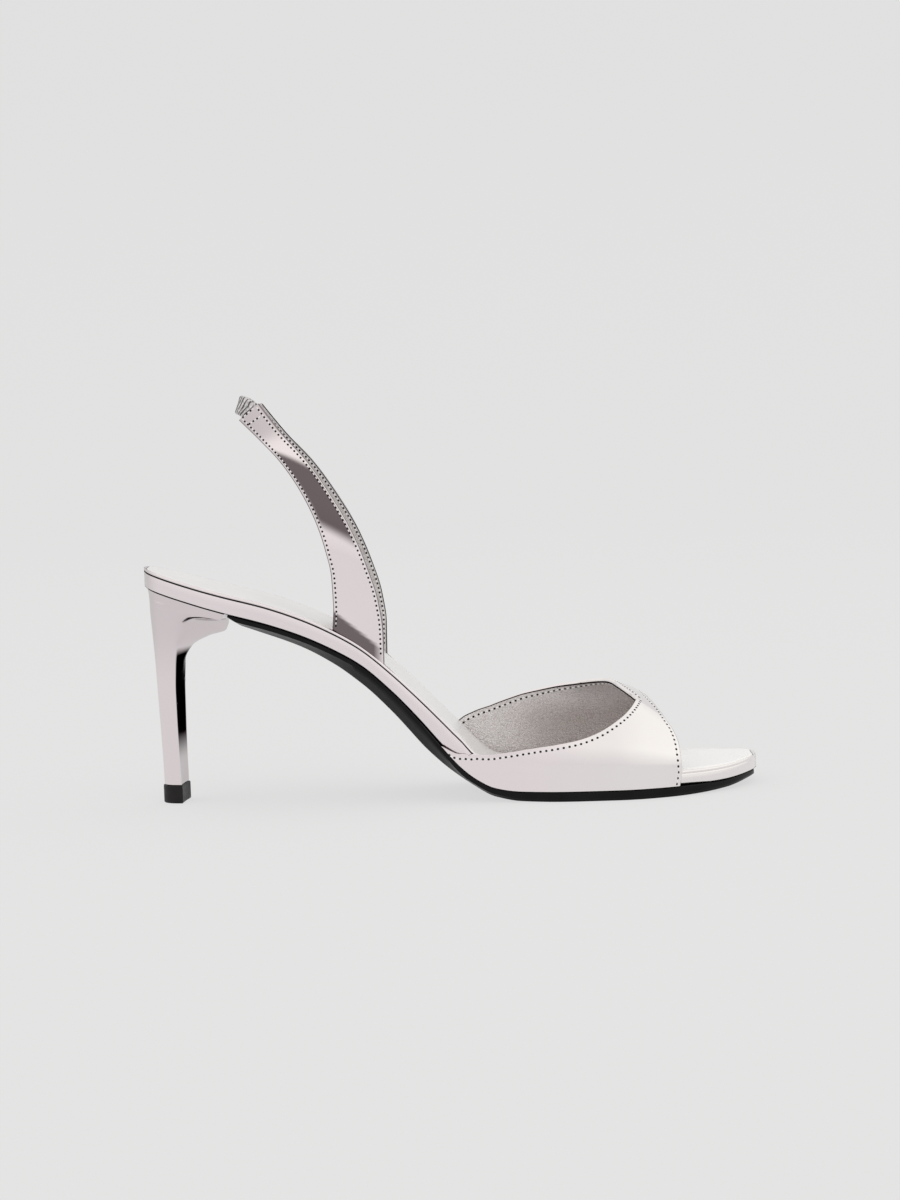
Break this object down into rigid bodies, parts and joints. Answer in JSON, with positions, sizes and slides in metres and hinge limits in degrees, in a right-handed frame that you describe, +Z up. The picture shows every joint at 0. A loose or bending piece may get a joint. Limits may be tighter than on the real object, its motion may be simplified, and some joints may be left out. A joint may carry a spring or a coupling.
{
  "type": "high-heeled slingback sandal",
  "caption": "High-heeled slingback sandal with an open toe, mirror-finish vamp and covered heel, right shoe.",
  "frame": {"origin": "on the floor under the middle of the shoe's bounding box", "axes": "+X from heel to toe, +Y to the inner side of the foot, +Z up"},
  "size_m": [0.2238, 0.075, 0.1496],
  "materials": {
    "mirror_leather": "mirror metallic",
    "sock_leather": "satin metallic",
    "sole": "satin",
    "tip": "satin",
    "elastic_band": "gathered"
  },
  "bodies": {
    "root": {"outsole": "sole", "insole_board": "mirror_leather", "footbed": "sock_leather", "heel": "mirror_leather", "heel_tip": "tip", "vamp": "mirror_leather", "strap_outer": "mirror_leather", "strap_inner": "mirror_leather", "elastic": "elastic_band"}
  },
  "joints": []
}
